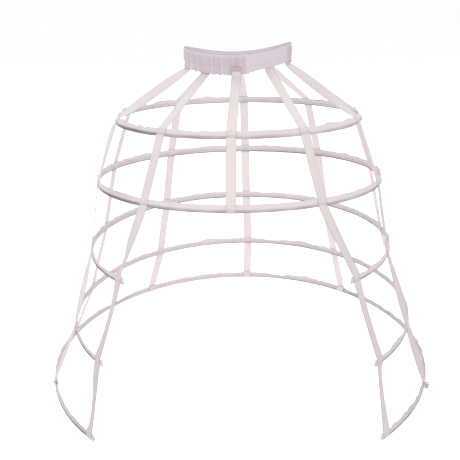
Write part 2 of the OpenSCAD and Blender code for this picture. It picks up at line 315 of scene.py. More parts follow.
def newMaterial(name):
    material = bpy.data.materials.new(name)
    material.use_nodes = True
    return material, Graph(material.node_tree), material.node_tree.nodes["Principled BSDF"].inputs


# Finishes

cotton = {"twill": 0, "rough": 0.9, "sheen": 0.08, "specular": 0.2}
# A look's worn tone is reached by wear and painted shade, and its soiled tone by soil and deeper painted
# shade
bandLook = {
    **cotton, "name": "band_cotton", "pitch": 0.0009, "bump": 0.00012,
    "light": tone(228, 216, 225), "dark": tone(218, 206, 215),
    "wornAndShaded": tone(158, 142, 152), "soiledAndShaded": tone(150, 136, 140),
}
# painted shade: the sewn tab is a darker copy of the band's cotton
shadedTabLook = {
    **bandLook, "name": "tab_cotton_painted_shade", "light": tone(203, 190, 200), "dark": tone(190, 176, 187),
}
tapeLook = {
    **cotton, "name": "twill_tape", "pitch": 0.0012, "twill": 0.0063, "bump": 0.00016, "rough": 0.85,
    "light": tone(247, 237, 236), "dark": tone(239, 228, 227),
    "wornAndShaded": tone(172, 157, 164), "soiledAndShaded": tone(158, 140, 136),
}
casingLook = {
    **cotton, "name": "casing_cotton", "pitch": 0.0008, "bump": 0.0001,
    "light": tone(238, 228, 231), "dark": tone(229, 218, 221),
    "wornAndShaded": tone(142, 128, 138), "soiledAndShaded": tone(138, 117, 102),
}
weave = {
    "creases": (140.0, 3.0), "clouds": (9.0, 2.0),  # scale and detail of the two noises
    "cloud": 0.8, "rib": 0.12, "crease": 0.25, "dull": 0.05,  # what makes the cloth light or dark; rib and crease follow the bump's height and paint shade in its hollows
    "darkening": 0.75, "held": 0.5,  # wear, soil and painted shade show everywhere, and more in creases
    "ribHeight": 0.5, "creaseHeight": 1.6, "bump": 0.6, "rough": 0.12,
}


def clothMaterial(look):
    material, graph, shader = newMaterial(look["name"])
    place = graph.add("ShaderNodeUVMap", {"uv_map": clothMap})
    along = graph.add("ShaderNodeSeparateXYZ", inputs={0: place})
    across = along.out(1)
    turn = 2 * math.pi / look["pitch"]
    if look["twill"]:  # herringbone: the ribs change their slant across the tape
        ribs = (along * turn + across.maths("PINGPONG", look["twill"]) * turn).maths("SINE")
    else:
        ribs = (along * turn).maths("SINE") * (across * turn).maths("SINE")
    crease, cloud = graph.noise(*weave["creases"]), graph.noise(*weave["clouds"])
    # ribs and creases paint shade in the bump's hollows
    share = cloud * weave["cloud"] + ribs * weave["rib"] + crease * weave["crease"] - weave["dull"]
    fresh = graph.blend(share, look["dark"], look["light"])
    wornAndShaded = graph.add("ShaderNodeAttribute", {"attribute_name": wearAndShadeMap}, output=2)
    # wear, soil and painted shade darken the cloth towards these tones
    darkTone = graph.blend(wornAndShaded - 1, look["wornAndShaded"], look["soiledAndShaded"])
    colour = graph.blend(wornAndShaded * (weave["darkening"] + crease * weave["held"]), fresh, darkTone)
    bump = graph.add("ShaderNodeBump", inputs={
        "Strength": weave["bump"], "Distance": look["bump"],
        "Height": ribs * weave["ribHeight"] + crease * weave["creaseHeight"]})
    graph.feed(shader["Base Color"], colour)
    graph.feed(shader["Roughness"], crease * weave["rough"] + (look["rough"] - weave["rough"] / 2))
    graph.feed(shader["Normal"], bump)
    shader["Sheen Weight"].default_value = look["sheen"]
    shader["Specular IOR Level"].default_value = look["specular"]
    return material


threadLook = {
    "name": "sewing_thread", "dark": tone(212, 200, 206), "light": tone(234, 224, 228),
    "scale": 700.0, "distortion": 1.0, "rough": 0.5, "vary": 0.2,
}
elasticLook = {
    "name": "woven_elastic", "dark": tone(218, 214, 210), "light": tone(240, 238, 234),
    "cord": 0.0026, "grain": 600.0, "detail": 2.0, "bump": 0.7, "height": 0.0004, "share": 0.3,
    "rough": 0.6, "vary": 0.2,
}
rodLook = {
    "name": "rod_plastic", "dark": tone(206, 208, 212), "light": tone(226, 228, 230),
    "grain": 60.0, "detail": 3.0, "rough": 0.3, "vary": 0.2, "metal": 0.0,
}
sleeveLook = {
    "name": "sleeve_steel", "dark": tone(170, 172, 176), "light": tone(206, 208, 210),
    "grain": 900.0, "detail": 3.0, "rough": 0.25, "vary": 0.2, "metal": 1.0,
}


def threadMaterial(look):
    material, graph, shader = newMaterial(look["name"])
    ply = graph.add("ShaderNodeTexWave", {"bands_direction": "DIAGONAL"},
                    {"Vector": graph.spot(), "Scale": look["scale"], "Distortion": look["distortion"]}, 1)
    graph.feed(shader["Base Color"], graph.blend(ply, look["dark"], look["light"]))
    graph.feed(shader["Roughness"], ply * look["vary"] + look["rough"])
    return material


def elasticMaterial(look):
    material, graph, shader = newMaterial(look["name"])
    height = graph.add("ShaderNodeSeparateXYZ", inputs={0: graph.spot()}, output=2)
    ribs = (height * (2 * math.pi / look["cord"])).maths("SINE")  # cords run round the waist
    grain = graph.noise(look["grain"], look["detail"])
    bump = graph.add("ShaderNodeBump", inputs={
        "Strength": look["bump"], "Distance": look["height"], "Height": ribs + grain})
    # the cords' colour follows their bump: painted shade between the cords
    graph.feed(shader["Base Color"], graph.blend(
        ribs * look["share"] + grain, look["dark"], look["light"]))
    graph.feed(shader["Roughness"], grain * look["vary"] + look["rough"])
    graph.feed(shader["Normal"], bump)
    return material


def hardMaterial(look):
    # A rod's plastic or a sleeve's metal, mottled at the scale of its grain
    material, graph, shader = newMaterial(look["name"])
    flow = graph.noise(look["grain"], look["detail"])
    graph.feed(shader["Base Color"], graph.blend(flow, look["dark"], look["light"]))
    graph.feed(shader["Roughness"], flow * look["vary"] + look["rough"])
    shader["Metallic"].default_value = look["metal"]
    return material


bandCotton, shadedTabCotton, twillTape, casingCotton = (
    clothMaterial(look) for look in (bandLook, shadedTabLook, tapeLook, casingLook))
thread = threadMaterial(threadLook)
sleeveSteel = hardMaterial(sleeveLook)

# What the cloth hides: these solids keep their shape and take a finish
hardware = {
    "waist_elastic": elasticMaterial(elasticLook), "_rod": hardMaterial(rodLook),
    "_joiner": sleeveSteel, "_rod_tips": sleeveSteel,
}
for ending, finish in hardware.items():
    for name, node in nodes.items():
        if name.endswith(ending):
            node.data.materials.clear()
            node.data.materials.append(finish)
print("finishes made")


# Stitches, which follow the lines that the cloth pieces give

stitchTypes = {
    "channel": {"Pitch": 0.0034, "Length": 0.0027, "Thickness": 0.0005, "Splay": 0.05},
    "gather": {"Pitch": 0.0042, "Length": 0.0032, "Thickness": 0.0005, "Splay": 0.06},
    "tack": {"Pitch": 0.0026, "Length": 0.0022, "Thickness": 0.0006, "Splay": 0.12},
    "overcast": {"Pitch": 0.0016, "Length": 0.0022, "Thickness": 0.0007, "Splay": 0.5},
}
stitchSeed = 7
stitchOut = 0.2  # thicknesses of thread from the cloth to the stitch's middle


def stitchTree():
    tree = bpy.data.node_groups.new("stitch_rows", "GeometryNodeTree")
    tree.interface.new_socket("Geometry", in_out="INPUT", socket_type="NodeSocketGeometry")
    for name in ("Pitch", "Length", "Thickness", "Splay"):
        tree.interface.new_socket(name, in_out="INPUT", socket_type="NodeSocketFloat")
    tree.interface.new_socket("Material", in_out="INPUT", socket_type="NodeSocketMaterial")
    tree.interface.new_socket("Geometry", in_out="OUTPUT", socket_type="NodeSocketGeometry")
    graph = Graph(tree)
    given = graph.add("NodeGroupInput")
    curve = graph.add("GeometryNodeMeshToCurve", inputs={"Mesh": given.out("Geometry")})
    points = graph.add("GeometryNodeResampleCurve", {"mode": "LENGTH"},
                       {"Curve": curve, "Length": given.out("Pitch")})
    grain = graph.add("GeometryNodeMeshUVSphere", inputs={"Segments": 6, "Rings": 4, "Radius": 0.5})
    size = graph.add("ShaderNodeCombineXYZ", inputs={
        0: given.out("Thickness"), 1: given.out("Thickness"), 2: given.out("Length")})
    aim = graph.add("FunctionNodeAlignRotationToVector", {"axis": "Z"},
                    {"Vector": graph.add("GeometryNodeInputTangent")})
    stray = given.out("Splay")
    tilt = graph.add("FunctionNodeRandomValue", {"data_type": "FLOAT_VECTOR"}, {
        0: graph.add("ShaderNodeCombineXYZ", inputs={0: 0 - stray, 1: 0 - stray}),
        1: graph.add("ShaderNodeCombineXYZ", inputs={0: stray, 1: stray}),
        "Seed": stitchSeed})
    swing = graph.add("FunctionNodeEulerToRotation", inputs={0: tilt})
    turn = graph.add("FunctionNodeRotateRotation", {"rotation_space": "LOCAL"},
                     {"Rotation": aim, "Rotate By": swing})
    rows = graph.add("GeometryNodeInstanceOnPoints", inputs={
        "Points": points, "Instance": grain, "Rotation": turn, "Scale": size})
    real = graph.add("GeometryNodeRealizeInstances", inputs={"Geometry": rows})
    smooth = graph.add("GeometryNodeSetShadeSmooth", inputs={"Geometry": real})
    sewn = graph.add("GeometryNodeSetMaterial", inputs={
        "Geometry": smooth, "Material": given.out("Material")})
    graph.add("NodeGroupOutput", inputs={"Geometry": sewn})
    return tree


stitchRows = stitchTree()


def sew(name, kind, lines):
    piece = lineMesh(name, lines)
    modifier = piece.modifiers.new("stitches", "NODES")
    modifier.node_group = stitchRows
    given = {s.name: s.identifier for s in stitchRows.interface.items_tree if s.in_out == "INPUT"}
    for label, value in stitchTypes[kind].items():
        modifier[given[label]] = value
    modifier[given["Material"]] = thread
    depsgraph = bpy.context.evaluated_depsgraph_get()
    made = bpy.data.meshes.new_from_object(piece.evaluated_get(depsgraph))
    piece.modifiers.clear()
    piece.data = made
    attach(piece, "root")


def dress(piece, material, slot, *replaced):
    piece.data.materials.append(material)
    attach(piece, "root")
    if replaced:
        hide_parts(*replaced)


# Hoops

casing = {
    "channelOut": 0.00355,  # outside of the channel, from the rod's middle
    "cloth": 0.0007,
    "stitchUp": 0.0054,  # channel stitch above the rod's middle
    "seamGap": 0.0015,
    "openFrom": 0.4,  # an open hoop's ends are further apart than this angle
    "edge": 0.0002,  # points of the casing's solid this near the furthest one are the flap's edge
    "step": 0.0045,
    "layers": 1.15,  # thicknesses of cloth from the flap's outer layer to its inner one
    "bend": 0.4,  # a leaning flap bends low rather than high
    "sway": 13,  # how far the flap leans this way and that, in degrees
    "part": 7, "partMost": 1.2,  # how far its two layers part, and how much further at most
    "uneven": 0.0008,  # how much its height changes
    "sideSway": 1.4,  # more on the sides than in front
    "innerShort": 0.2,  # the inner layer is this share of that change shorter
    "bulge": 0.05,  # slack of the channel round the rod
    "waves": {  # lengths of what changes along the hoop
        "lean": (0.15, 0.083, 0.047), "part": (0.11, 0.061), "outer": (0.13, 0.071, 0.033),
        "inner": (0.11, 0.059, 0.029), "slack": (0.09, 0.041), "wearAndShade": (0.2, 0.09)},
    "round": range(0, -301, -25),  # columns round the channel, in degrees from its outside
    "sewn": (0.54, 1.25),  # tape widths from a tape's middle where the flap starts to be free, and is
    "shares": (0, 0.1, 0.22, 0.38, 0.54, 0.7, 0.86, 1),  # columns up the flap
    "cut": {1: 1, 2: 1, 3: 0.86, 4: 0.76, 5: 0.74},  # the lower flaps are cut narrower
    "edgeWear": 0.12, "seatShade": 0.55,  # wear on the flap's edge, and painted shade beside the rod
    "channelShadeAt": -97, "channelShadeHalf": 84, "channelShadeFade": 126,  # painted shade on the channel's underside, in degrees round it
    "wearAndShadeVary": 0.15,
    "soilAndShadeBase": 0.35, "soilAndShadeOnWorn": 1.15,  # soil and painted shade lie on all the cloth, and more where it is worn or shaded
    # Each swell is an angle in degrees, a half width in metres and a height, a lean, or an amount of soil and
    # painted shade
    "crests": {
        1: [(-158, 0.024, 0.0035), (-134, 0.03, 0.0035), (-122, 0.008, -0.003), (162, 0.02, 0.0035),
            (136, 0.03, 0.003), (46, 0.018, 0.005), (61, 0.02, 0.003), (-62, 0.02, 0.003),
            (-42.5, 0.006, -0.004), (-15, 0.02, -0.002), (-100, 0.03, 0.003)],
        2: [(-129, 0.016, 0.003), (126, 0.012, 0.004), (-166, 0.05, 0.001), (-47, 0.03, 0.002)],
        3: [(-165, 0.05, 0.0015), (90, 0.03, 0.002), (-60, 0.07, -0.0045)],
        4: [(-165, 0.03, 0.004), (157, 0.022, 0.004), (-90, 0.03, 0.003), (-62, 0.07, -0.004),
            (62, 0.09, 0.003)],
        5: [(157, 0.026, 0.004), (-162, 0.03, 0.002), (90, 0.04, 0.003), (-92, 0.04, 0.003),
            (60, 0.13, 0.005)],
    },
    "flops": {
        1: [(-50, 0.02, 24), (-62, 0.02, -20), (61, 0.02, -22), (46, 0.02, -14), (-100, 0.03, -32)],
        2: [(-47, 0.03, 20), (-157, 0.03, 22), (90, 0.03, -14)],
        3: [(172, 0.03, 40), (-160, 0.05, -8), (-60, 0.07, 72), (115, 0.12, 24)],
        4: [(170, 0.04, 58), (-165, 0.03, -10), (122, 0.13, 34), (-62, 0.07, 72)],
        5: [(168, 0.045, 62), (157, 0.02, -16), (-126, 0.05, 60), (124, 0.13, 30), (138, 0.03, 40),
            (-60, 0.09, 50)],
    },
    "soilAndShade": {
        1: [(120, 0.12, 0.18), (155, 0.12, 0.18), (-50, 0.1, 0.35), (-84, 0.09, -0.45), (35, 0.2, -0.3),
            (-18, 0.12, -0.12)],
        2: [(125, 0.2, 0.25), (155, 0.14, 0.3), (30, 0.25, -0.15), (-80, 0.09, -0.6), (-50, 0.1, 0.6),
            (-25, 0.08, -0.1)],
        3: [(-60, 0.09, 0.55), (120, 0.2, 0.2), (62, 0.09, -0.1), (-170, 0.1, 0.05)],
        4: [(-62, 0.1, 0.8), (125, 0.2, 0.2), (152, 0.1, 0.15), (63, 0.1, 0.15), (-140, 0.2, -0.2)],
        5: [(-60, 0.13, 0.65), (-47, 0.05, 0.9), (138, 0.06, 0.6), (118, 0.12, 0.35), (62, 0.13, 0.2),
            (152, 0.12, 0.3), (-150, 0.25, -0.25)],
    },
    # painted shade on the flaps of the right front
    "flapPaintedShade": {3: [(60, 0.08, 0.15)], 4: [(58, 0.08, 0.1)], 5: [(66, 0.25, 0.22)]},
}
hoops = {number: Hoop(number) for number in range(1, 6)}
for hoop in hoops.values():
    print(f"hoop {hoop.number}: radius {hoop.radius:.4f}, lean {math.degrees(hoop.lean):.1f},"
          f" from {math.degrees(hoop.start):.1f} to {math.degrees(hoop.end):.1f}")

tape = {
    "width": 0.025,
    "thick": 0.0008,
    "seat": 0.00415,  # middle of the tape from the rod's middle
    "near": 0.0062,  # points of the tape's solid this close to a rod lie round it
    "head": 0.004,  # and this close to its top lie at its sewn end
    "step": 0.008,
    "columns": (-1, -0.93, -0.8, -0.5, -0.2, 0.2, 0.5, 0.8, 0.93, 1),
    "rim": 0.9, "selvedge": 1.25,  # the edges are thicker
    "edgeWear": 0.24, "edgeSoilAndShade": 2,
    "soilAndShadeSpan": (0.3, 0.8),  # shares of the length where the soil and painted shade start to change, and end
    "soilAndShade": {  # soil and painted shade at the top and at the bottom
        "front_centre_tape": (0.16, 0.08), "front_left_tape": (0.12, 0.4), "front_right_tape": (0.14, 0.34),
        "side_front_left_tape": (0.08, 0.1), "side_front_right_tape": (0.18, 0.34)},
    "flapShade": 0.14, "rodShade": 0.5,  # tint where the tape lies over the flap, and painted shade where it goes round the rod
    "over": (0, 0.5, 1),  # shares of the way that it bends over a rod
    "clear": 0.0012,  # straight part after a rod
    "flat": 0.01,  # a curl under this many radians is none
    "ease": 0.8,  # how soon a turned tape starts to turn
    "bend": 30,  # degrees that it leans out where it leaves the waistband
    # Tops: middle of the tape from the band's inner face, and heights over the band's stitch line
    "inside": {"out": -0.00085, "heights": (0.024, 0.012, 0, -0.0172)},
    "outside": {"out": 0.00625, "heights": (0.004, -0.004, -0.0172)},
    "under": range(0, 181, 20),  # the end goes under the last rod, in degrees,
    "behind": (0.011, 0.014), "beside": 0.002, "backGap": 0.0002,  # and up behind the flap
    "tackShare": 0.84, "tackPoints": 9,  # rows of stitches across the tape
    "tackUp": 0.0048, "tackDown": 0.003, "tackOut": 0.0001,  # over the rod, under the flap's edge
}
tapeNames = [name for name in nodes if name.endswith("_tape")]


def tapeAngles(name):
    # Where a tape crosses each hoop
    points = nodePoints(name)
    found = {}
    for number, hoop in hoops.items():
        angle, out, rise = hoop.local(points)
        near = np.hypot(out, rise) < tape["near"]
        if near.any():
            found[number] = math.atan2(np.sin(angle[near]).mean(), np.cos(angle[near]).mean())
    return found


crossings = {name: tapeAngles(name) for name in tapeNames}


def looseness(hoop, angle):
    # 0 under a tape, where the flap is sewn down, and 1 where it is free
    free = np.ones_like(angle)
    for found in crossings.values():
        if hoop.number in found:
            away = np.abs(turnBetween(angle, found[hoop.number])) * hoop.radius
            free = np.minimum(free, ramp(away / tape["width"], *casing["sewn"]))
    return free


def swells(hoop, angle, places):
    total = np.zeros_like(angle)
    for at, half, height in places:
        total += height * bell(turnBetween(angle, math.radians(at)) * hoop.radius, 0, half)
    return total


def flapLayer(base, length, lean):
    # Columns of one layer of the flap from the stitch line up, which bends inwards as it rises
    x, y = base * np.ones_like(length), casing["stitchUp"] * np.ones_like(length)
    columns, last = [], 0
    for share in casing["shares"]:
        turn = lean * ((share + last) / 2) ** casing["bend"]
        x = x - (share - last) * length * np.sin(turn)
        y = y + (share - last) * length * np.cos(turn)
        columns.append((x, y))
        last = share
    return columns


def casingWear(hoop, angle, vary, wornAndShaded):
    def swollen(places):
        return swells(hoop, angle, casing[places].get(hoop.number, ()))[:, None]

    wornAndShaded = np.array(wornAndShaded)
    wearAndShade = wornAndShaded * (1 - casing["wearAndShadeVary"] + casing["wearAndShadeVary"] * vary)[:, None]
    # soil and painted shade, most where the cloth is already worn or shaded
    wearAndShade = wearAndShade + swollen("soilAndShade") * (casing["soilAndShadeBase"] + casing["soilAndShadeOnWorn"] * wornAndShaded)
    # painted shade on the flap only
    return wearAndShade + swollen("flapPaintedShade") * (1 - wornAndShaded)


def casingPath(hoop, angle):
    # The cloth's middle line from the flap's outer edge, round the rod and up to its inner edge
    s = angle * hoop.radius
    line = {name: wander(s, 10 * hoop.number + k, *waves)
            for k, (name, waves) in enumerate(casing["waves"].items())}
    free = looseness(hoop, angle)
    loose = free * (1 + (casing["sideSway"] - 1) * np.sin(angle) ** 2)
    lean = casing["sway"] * line["lean"] * loose
    lean = np.radians(lean + swells(hoop, angle, casing["flops"][hoop.number]) * free)
    apart = np.radians(casing["part"]) * (0.5 + 0.5 * line["part"]).clip(0, casing["partMost"]) * loose
    length = hoop.flap - casing["stitchUp"] + swells(hoop, angle, casing["crests"][hoop.number]) * free
    outer = length + casing["uneven"] * line["outer"] * free
    inner = length + casing["uneven"] * (line["inner"] - casing["innerShort"]) * free
    slack = 1 + casing["bulge"] * (1 + line["slack"]) * free
    middle = casing["channelOut"] - casing["cloth"] / 2
    columns = flapLayer(middle, outer, lean)[::-1]
    wornAndShaded = [casing["edgeWear"]] + [0.0] * (len(columns) - 1)
    columns.append((middle * np.ones_like(s), casing["stitchUp"] / 2 * np.ones_like(s)))
    # painted shade beside the rod
    wornAndShaded.append(casing["seatShade"])
    for turn in casing["round"]:
        sewn = turn in (casing["round"][0], casing["round"][-1])
        bulge = middle * np.where(sewn, 1, slack)
        columns.append((bulge * math.cos(math.radians(turn)), bulge * math.sin(math.radians(turn))))
        # painted shade on the channel's underside
        wornAndShaded.append(1 - ramp(abs(turn - casing["channelShadeAt"]), casing["channelShadeHalf"], casing["channelShadeFade"]))
    columns += flapLayer(middle - casing["cloth"] * casing["layers"], inner, lean + apart)
    wornAndShaded += [0.0] * (len(casing["shares"]) - 1) + [casing["edgeWear"]]
    wearAndShade = casingWear(hoop, angle, line["wearAndShade"], wornAndShaded)
    return np.stack([np.stack(c, -1) for c in columns], 1), wearAndShade


def makeCasing(hoop):
    count = int((hoop.end - hoop.start) * hoop.radius / casing["step"])
    angle = np.linspace(hoop.start, hoop.end, count)
    path, wearAndShade = casingPath(hoop, angle)
    section = clothRing(path, casing["cloth"])
    rings = hoop.place(angle[:, None], section[..., 0], section[..., 1])
    width, length = pathLength(path[0]), (angle - angle[0]) * hoop.radius
    piece = stripMesh(f"casing_{hoop.number}", strip(rings, length, width, wearAndShade))
    dress(piece, casingCotton, "casing_cloth", f"hoop_{hoop.number}_casing")
    lift = casing["cloth"] / 2 + stitchTypes["channel"]["Thickness"] * stitchOut
    middle = casing["channelOut"] - casing["cloth"] / 2
    up = np.full_like(angle, casing["stitchUp"])
    rows = [hoop.place(angle, np.full_like(angle, x), up)
            for x in (middle + lift, middle - casing["cloth"] * casing["layers"] - lift)]
    sew(f"casing_{hoop.number}_stitches", "channel", rows)


for hoop in hoops.values():
    makeCasing(hoop)
print("casings made")


# Ends of the open hoops: the cloth is folded over the rod's tip, pinched to a point and sewn

fold = {
    "clear": 0.0006,  # middle of the folded cloth outside the casing
    "cloth": 0.0007,
    "flat": 0.00045,  # half the thickness of the pinched end
    # Stations past the casing's end, how open the fold is there, and how tall
    "past": (-0.0042, -0.0026, -0.001, 0.0003, 0.001, 0.0018, 0.0029, 0.0046),
    "open": (1, 1, 1, 1, 0.6, 0.25, 0.12, 0.05),
    "tall": (1, 0.99, 1, 0.97, 0.9, 0.74, 0.46, 0.12),
    "tip": 0.002,  # height of the point above the rod's middle
    "shares": (1, 0.8, 0.6, 0.4, 0.2),  # columns down the flap
    "round": range(0, -281, -20),  # and round the channel, in degrees
    "full": 1.3, "thinnest": 0.25,  # the cloth thins towards the point
    "wearAndShade": 0.1,
    "droop": {(3, "left"): 0.004, (3, "right"): 0.001, (4, "left"): 0.002, (4, "right"): -0.001,
              (5, "left"): 0.0, (5, "right"): 0.002},
    "rows": (-0.0034, -0.0022, -0.0008),  # stitches past the casing's end
}


def foldOutline(hoop, opened, tall):
    # The fold's middle line across the hoop, from the flap's outer edge round to its inner edge
    plane = casing["channelOut"] - casing["cloth"]
    gap = fold["flat"] + (casing["cloth"] + fold["clear"] - fold["flat"]) * opened
    radius = casing["channelOut"] + fold["clear"]
    outer = [(plane + gap, share * hoop.flap) for share in fold["shares"]]
    turns = np.radians(fold["round"])
    wide = radius * opened
    loop = [(plane * (1 - opened) + (wide + fold["flat"] * (1 - opened)) * math.cos(t),
             radius * (0.5 + 0.5 * opened) * math.sin(t)) for t in turns]
    inner = [(plane - gap, share * hoop.flap) for share in fold["shares"][::-1][1:]]
    line = np.array(outer + loop + inner)
    line[:, 1] = fold["tip"] + (line[:, 1] - fold["tip"]) * tall
    return line


def foldEnd(hoop, side):
    # Returns the strip, its stitches and its area
    end, way = (hoop.end, 1) if side == "left" else (hoop.start, -1)
    past = np.array(fold["past"])
    path = np.stack([foldOutline(hoop, o, t) for o, t in zip(fold["open"], fold["tall"])])
    droop = fold["droop"][hoop.number, side] * ramp(past, 0, past[-1])
    path[..., 1] -= droop[:, None]
    thick = fold["cloth"] * np.clip(np.array(fold["tall"]) * fold["full"], fold["thinnest"], 1)
    section = clothRing(path, thick[:, None])
    angle = end + way * past / hoop.radius
    rings = hoop.place(angle[:, None], section[..., 0], section[..., 1])
    middle = hoop.place(angle[:, None], path[..., 0], path[..., 1])
    across = np.linalg.norm(np.diff(middle, axis=1), axis=2).sum(1)
    area = float(((across[1:] + across[:-1]) / 2 * np.diff(past)).sum())
    columns = path.shape[1]
    lifted = hoop.place(angle[:, None], section[:, :columns, 0], section[:, :columns, 1])
    rows = []
    for row in fold["rows"]:
        k = int(np.searchsorted(past, row))
        share = (row - past[k - 1]) / (past[k] - past[k - 1])
        rows.append(lifted[k - 1] * (1 - share) + lifted[k] * share)
    return strip(rings, past - past[0], pathLength(path[0]), fold["wearAndShade"]), rows, area


def makeEnds(hoop):
    sides = [foldEnd(hoop, side) for side in ("left", "right")]
    piece = stripMesh(f"hoop_{hoop.number}_folded_ends", *(made for made, _, _ in sides))
    dress(piece, casingCotton, "casing_cloth", f"hoop_{hoop.number}_end_covers")
    sew(f"hoop_{hoop.number}_end_stitches", "overcast",
        [row for _, rows, _ in sides for row in rows])


for hoop in hoops.values():
    if hoop.open:
        makeEnds(hoop)
print("ends folded")


# Waistband

band = {
    "cloth": 0.0008,
    "elasticWide": 0.032,
    "elasticOut": 0.0027,  # outer face of the elastic from the band's inner face
    "margin": 0.004,  # elastic above the stitch line
    "height": 0.0374,
    "low": 0.0022,  # middle of the outer cloth at the stitch line
    "outer": 0.0034,  # and over the elastic
    "hem": 0.0312,  # stitch line of the hem at the top
    "frill": 0.016,
    "frillWave": 0.0028,
    "short": 0.38,  # the frill is shorter on the right front
    "tufts": ((0.0317, 0.0045), (0.0433, 0.004)),  # points of the frill: where, and how long
    "gather": 0.0018,
    "pitch": 0.0054,
    "step": 0.0006,
    "smoothFrom": 8, "smoothTo": 70, "smoothEdge": 6, "smoothShare": 0.12,  # the right front, in degrees
    "shortFrom": 6, "shortTo": 100, "shortEdge": 18,
    "seamAt": 0.0005, "seamWide": 0.0011, "seamDeep": 0.002, "seamShade": 0.9,  # the seam at the front centre, with painted shade in its crease
    "lines": {  # amount, seed and wavelengths of what is uneven round the band
        "lean": (0.0022, 31, 0.06, 0.027), "drift": (0.45, 32, 0.047, 0.021), "jitter": (0.15, 33, 0.009),
        "fork": (0.1, 35, 0.013), "ridge": (0.3, 34, 0.031, 0.013), "edge": (0.002, 41, 0.023, 0.011),
        "curl": (0.35, 42, 0.017, 0.03)},
    "crown": 0.8, "ridge": 0.7, "ridgeMost": 1.2, "ridgeLean": 0.2,  # form of one gather
    # the top fold is gathered less, and darker
    "topGather": 0.2, "topDarker": 0.55,
    "hemFrom": 0.027, "hemGather": 0.2,  # the hem above its stitches is nearly smooth
    "hemDent": 0.0003, "dentHalf": 0.0006, "hemWear": 0.2, "hemWearHalf": 0.0008,
    "belly": 0.4, "bellyUp": 1.15, "bellyRound": 0.6,  # gathers stand out most halfway up
    "tuckTo": 0.005,  # they draw in towards the stitch line
    # painted shade in the gathers' valleys, up the face and at the stitch line
    "valleyShade": 0.38, "stitchGather": 0.5, "stitchValleyShade": 0.2,
    "tuftHalf": 0.0028, "frillFork": 0.2, "frillNear": 0.3, "frillMost": 0.0045,
    # painted shade in the frill's valleys, and wear on its edge
    "frillValleyShade": 0.3, "frillEdgeWear": 0.1,
    "thin": 0.85,  # share of the cloth's thickness in the mesh
    "fullAt": 7, "hemAt": 3, "sewEvery": 3,  # columns of the face, and stations between stitch points
    "inner": (0, 0.012, 0.024, 0.0345),
    "top": ((0.0008, 0.0010), (0.0016, 0.0004), (0.0025, 0.0005), (0.0031, 0.0015)),
    "face": (0.0348, 0.0332, 0.0320, 0.0312, 0.0303, 0.0288, 0.026, 0.0225, 0.019, 0.0155, 0.012,
             0.009, 0.0065, 0.0045, 0.0025),
    "frillParts": (0.15, 0.35, 0.55, 0.75, 0.9, 1),
}


class Waist:
    # The ellipse of the band's inner face and the height of its stitch line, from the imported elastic
    def __init__(self):
        points = nodePoints("waist_elastic")
        self.a, self.b = np.ptp(points[:, 0]) / 2, np.ptp(points[:, 1]) / 2
        angle = np.arctan2(points[:, 0] / self.a, -points[:, 1] / self.b)
        self.fit = np.linalg.lstsq(self.basis(angle), points[:, 2], rcond=None)[0]
        self.a, self.b = self.a - band["elasticOut"], self.b - band["elasticOut"]

    def basis(self, angle):
        c = np.cos(angle)
        return np.stack((np.ones_like(c), c * c * (c > 0), c * c * (c <= 0), np.sin(angle)), -1)

    def low(self, angle):
        middle = self.basis(np.asarray(angle, float)) @ self.fit
        return middle - band["elasticWide"] / 2 - band["margin"]

    def out(self, angle):
        flat = (self.b * np.sin(angle), -self.a * np.cos(angle), np.zeros_like(angle))
        return unit(np.stack(flat, -1))

    def point(self, angle, out, up):
        angle = np.asarray(angle, float)
        base = np.stack((self.a * np.sin(angle), -self.b * np.cos(angle), self.low(angle)), -1)
        rise = np.asarray(up)[..., None] * np.array((0, 0, 1))
        return base + np.asarray(out)[..., None] * self.out(angle) + rise

    def along(self, angle, near=0.01):
        return unit(self.point(angle + near, 0, 0) - self.point(angle - near, 0, 0))

    def evenAngles(self, step, samples=4001):
        # Angles of even steps round the band, and their distances from the front centre
        fine = np.linspace(-math.pi, math.pi, samples)
        speed = np.hypot(self.a * np.cos(fine), self.b * np.sin(fine))
        length = np.append(0, np.cumsum((speed[1:] + speed[:-1]) / 2 * np.diff(fine)))
        s = np.linspace(0, length[-1], int(length[-1] / step) + 1)[:-1]
        return np.interp(s, length, fine), s - np.interp(0, fine, length)


waist = Waist()


def smoothed(angle, low, high, edge):
    turn = np.degrees(angle)
    return ramp(turn, low, low + edge) * (1 - ramp(turn, high - edge, high))


def gathered(angle):
    smooth = smoothed(angle, band["smoothFrom"], band["smoothTo"], band["smoothEdge"])
    return 1 - (1 - band["smoothShare"]) * smooth


def uneven(s, name):
    amount, seed, *waves = band["lines"][name]
    return amount * wander(s, seed, *waves)


def folds(s, height):
    # Height of the gathers at a place: uneven ridges that lean a little and fork
    lean = uneven(s, "lean") * (height - 0.5)
    phase = (s + lean) / band["pitch"] + uneven(s + lean, "drift")
    phase = phase + uneven(s, "jitter") + height * uneven(s, "fork")
    ridge = (0.5 + 0.5 * np.cos(2 * math.pi * phase)) ** band["crown"]
    ridge = ridge * (band["ridge"] + uneven(s + band["ridgeLean"] * lean, "ridge"))
    return ridge.clip(0, band["ridgeMost"])


def valley(ridge, share):
    return (1 - ridge).clip(0, 1) * share


